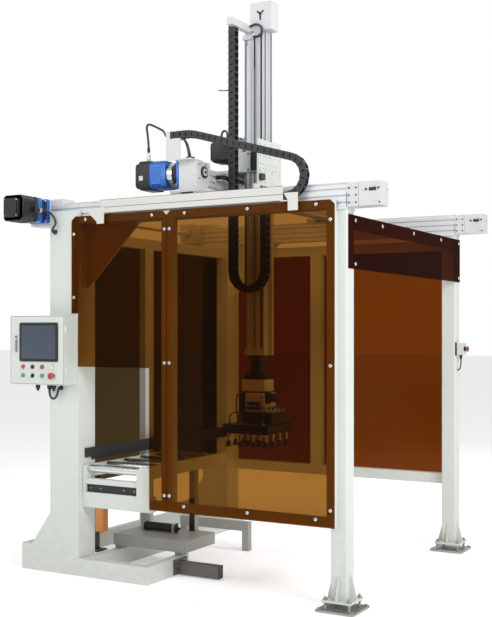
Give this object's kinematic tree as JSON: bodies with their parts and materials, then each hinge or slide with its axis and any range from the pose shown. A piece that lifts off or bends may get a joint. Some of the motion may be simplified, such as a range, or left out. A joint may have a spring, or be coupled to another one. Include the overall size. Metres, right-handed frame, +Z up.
{
  "type": "gantry palletizer",
  "caption": "Floor-standing gantry palletizer cell: three linear axes carry a vacuum gripper over a pallet bay, with an infeed roller conveyor and tinted guards.",
  "frame": {"origin": "centre of the machine's footprint, on the floor", "axes": "+Z up, +Y from the front panels towards the back, +X to the right of the front"},
  "size_m": [2.51, 2.36, 3.62],
  "materials": {
    "paint": "light grey powder coat, satin",
    "galvanised": "dull zinc",
    "aluminium": "anodised, satin",
    "amber": "tinted polycarbonate, glossy",
    "bolt": "plated button heads",
    "steel": "turned steel",
    "black_metal": "black, satin",
    "blue": "blue paint, satin",
    "cream": "cream paint, satin",
    "screen": "touch screen in a grey bezel",
    "lamp": "coloured lenses",
    "red": "red plastic",
    "green": "green plastic",
    "black_plastic": "black nylon",
    "orange": "orange paint",
    "cable": "black cable jacket",
    "roller": "turned tube",
    "gripper": "black anodised",
    "cup": "black rubber"
  },
  "bodies": {
    "frame": {"base_frame": "paint", "front_left_column": "paint", "rear_left_column": "paint", "column_braces": "paint", "front_right_post": "paint", "rear_right_post": "paint", "levelling_feet": "galvanised", "side_rails": "paint", "front_panel_frame": "paint", "rear_panel_frame": "paint", "front_left_panel": "amber", "front_right_panel": "amber", "right_panel": "amber", "rear_panel": "amber", "left_panels": "amber", "panel_bolts": "bolt", "front_x_beam": "aluminium", "rear_x_beam": "aluminium", "x_axis_boxes": "aluminium", "x_motor": "black_metal", "cable_tray": "cream", "hmi_box": "paint", "hmi_screen": "screen", "indicator_lamps": "lamp", "estop_box": "paint", "conveyor_frame": "paint", "conveyor_stand": "paint", "guide_rail": "black_plastic", "pallet_stop": "paint", "light_post": "orange", "x_motor_cable": "cable", "hmi_cable": "cable", "x_chain": "black_plastic"},
    "drive_shaft": {"connecting_shaft": "steel"},
    "bridge": {"bridge_beam": "aluminium", "bridge_boxes": "aluminium", "y_motor": "blue", "y_motor_cable": "cable", "bridge_saddles": "aluminium", "y_chain": "black_plastic"},
    "carriage": {"z_carriage": "paint", "z_motor": "blue", "z_motor_cable": "cable", "z_chain": "black_plastic"},
    "lift_mast": {"mast": "aluminium", "mast_head": "aluminium", "mast_hose": "cable"},
    "gripper": {"gripper_head": "gripper", "suction_cups": "cup"},
    "selector": {"selector_knob": "black_plastic"},
    "start_button": {"green_button": "green"},
    "stop_button": {"red_button": "red"},
    "panel_estop": {"hmi_estop_button": "red"},
    "post_estop": {"rear_estop_button": "red"},
    "roller_1": {"roller_1": "roller"},
    "roller_2": {"roller_2": "roller"},
    "roller_3": {"roller_3": "roller"},
    "roller_4": {"roller_4": "roller"},
    "roller_5": {"roller_5": "roller"},
    "roller_6": {"roller_6": "roller"}
  },
  "joints": [
    {"name": "x_axis", "type": "slide", "parent": "frame", "child": "bridge", "axis": [1, 0, 0], "range_m": [-0.8, 0.6], "deforming": ["x_chain"]},
    {"name": "y_axis", "type": "slide", "parent": "bridge", "child": "carriage", "axis": [0, 1, 0], "range_m": [-0.16, 0.7], "deforming": ["y_chain"]},
    {"name": "z_axis", "type": "slide", "parent": "carriage", "child": "lift_mast", "axis": [0, 0, -1], "range_m": [-0.55, 0.65], "deforming": ["z_chain"]},
    {"name": "gripper_turn", "type": "hinge", "parent": "lift_mast", "child": "gripper", "pos_m": [0.202, -0.35, 1.38], "axis": [0, 0, 1], "range_deg": [-180, 180]},
    {"name": "shaft_turn", "type": "hinge", "parent": "frame", "child": "drive_shaft", "pos_m": [-1.121, 0.075, 2.33], "axis": [0, 1, 0], "range_deg": [-1030, 780]},
    {"name": "selector_turn", "type": "hinge", "parent": "frame", "child": "selector", "pos_m": [-1.053, -1.036, 1.26907], "axis": [0, 1, 0], "range_deg": [-45, 45]},
    {"name": "start_button_press", "type": "slide", "parent": "frame", "child": "start_button", "axis": [0, 1, 0], "range_m": [0, 0.0045], "stiffness_N_per_m": 300},
    {"name": "stop_button_press", "type": "slide", "parent": "frame", "child": "stop_button", "axis": [0, 1, 0], "range_m": [0, 0.0045], "stiffness_N_per_m": 300},
    {"name": "panel_estop_press", "type": "slide", "parent": "frame", "child": "panel_estop", "axis": [0, 1, 0], "range_m": [0, 0.007], "stiffness_N_per_m": 300},
    {"name": "post_estop_press", "type": "slide", "parent": "frame", "child": "post_estop", "axis": [-1, 0, 0], "range_m": [0, 0.007], "stiffness_N_per_m": 300},
    {"name": "roller_1_turn", "type": "hinge", "parent": "frame", "child": "roller_1", "pos_m": [-0.565, -0.825, 0.675], "axis": [1, 0, 0], "continuous": true},
    {"name": "roller_2_turn", "type": "hinge", "parent": "frame", "child": "roller_2", "pos_m": [-0.565, -0.635, 0.675], "axis": [1, 0, 0], "continuous": true},
    {"name": "roller_3_turn", "type": "hinge", "parent": "frame", "child": "roller_3", "pos_m": [-0.565, -0.445, 0.675], "axis": [1, 0, 0], "continuous": true},
    {"name": "roller_4_turn", "type": "hinge", "parent": "frame", "child": "roller_4", "pos_m": [-0.565, -0.255, 0.675], "axis": [1, 0, 0], "continuous": true},
    {"name": "roller_5_turn", "type": "hinge", "parent": "frame", "child": "roller_5", "pos_m": [-0.565, -0.065, 0.675], "axis": [1, 0, 0], "continuous": true},
    {"name": "roller_6_turn", "type": "hinge", "parent": "frame", "child": "roller_6", "pos_m": [-0.565, 0.125, 0.675], "axis": [1, 0, 0], "continuous": true}
  ],
  "couplings": [
    {"joint": "shaft_turn", "follows": "x_axis", "rad_per_m": 22.222},
    {"joint": "roller_2_turn", "follows": "roller_1_turn", "ratio": 1},
    {"joint": "roller_3_turn", "follows": "roller_1_turn", "ratio": 1},
    {"joint": "roller_4_turn", "follows": "roller_1_turn", "ratio": 1},
    {"joint": "roller_5_turn", "follows": "roller_1_turn", "ratio": 1},
    {"joint": "roller_6_turn", "follows": "roller_1_turn", "ratio": 1}
  ]
}
